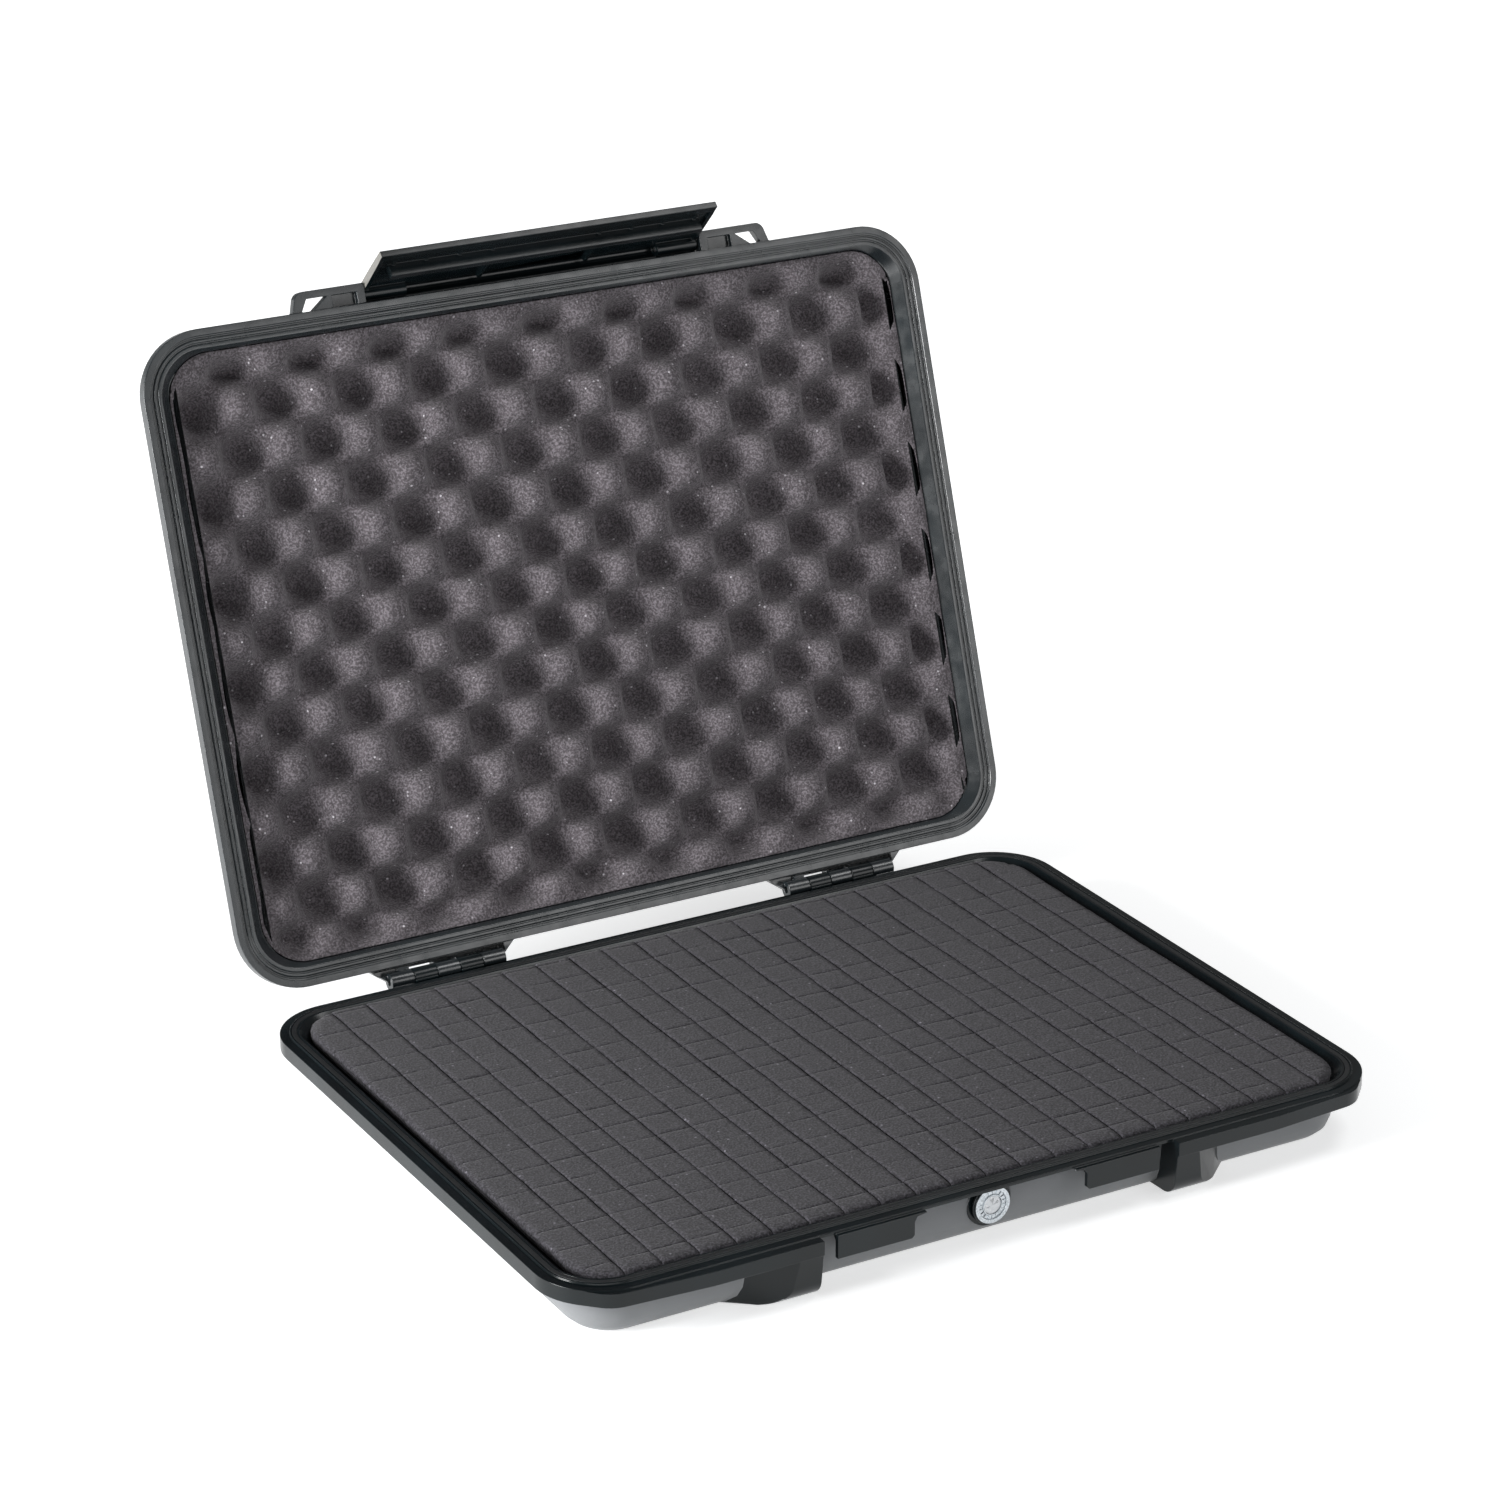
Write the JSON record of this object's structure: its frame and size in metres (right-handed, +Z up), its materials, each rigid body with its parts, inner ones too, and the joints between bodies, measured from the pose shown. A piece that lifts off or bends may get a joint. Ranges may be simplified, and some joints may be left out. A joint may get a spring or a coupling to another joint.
{
  "type": "laptop hard case",
  "caption": "Slim hard laptop case: a hinged lid with convoluted foam over a sealed base of scored foam, shut by a wide latch flap between fins.",
  "frame": {"origin": "middle of the underside of the base", "axes": "+X to the right of someone facing the latch, +Y towards the hinges, +Z up"},
  "size_m": [0.389, 0.4205, 0.3322],
  "materials": {
    "shell": "black moulded plastic, fine satin grain",
    "seal": "soft black seal",
    "pin": "dull steel",
    "base_foam": "charcoal open-cell foam, scored into cells",
    "lid_foam": "charcoal open-cell foam, convoluted",
    "valve_ring": "bright silver ring",
    "membrane": "white vent membrane"
  },
  "bodies": {
    "base": {"base_shell": "shell", "rim_seal": "seal", "base_foam_pad": "base_foam", "base_foam_grid": "base_foam", "valve_body": "shell", "valve_gasket": "seal", "valve_ring": "valve_ring", "valve_membrane": "membrane", "valve_nut": "shell"},
    "lid": {"lid_shell": "shell", "lid_foam": "lid_foam", "hinge_pin_left": "pin", "hinge_pin_right": "pin", "latch_pin_left": "pin", "latch_pin_right": "pin"},
    "latch": {"latch_flap": "shell"}
  },
  "joints": [
    {"name": "lid_hinge", "type": "hinge", "parent": "base", "child": "lid", "pos_m": [0, 0.1506, 0.027], "axis": [1, 0, 0], "range_deg": [0, 108.8]},
    {"name": "latch_hinge", "type": "hinge", "parent": "lid", "child": "latch", "pos_m": [0, 0.25387, 0.3077], "axis": [1, 0, 0], "range_deg": [-70, 26]}
  ]
}
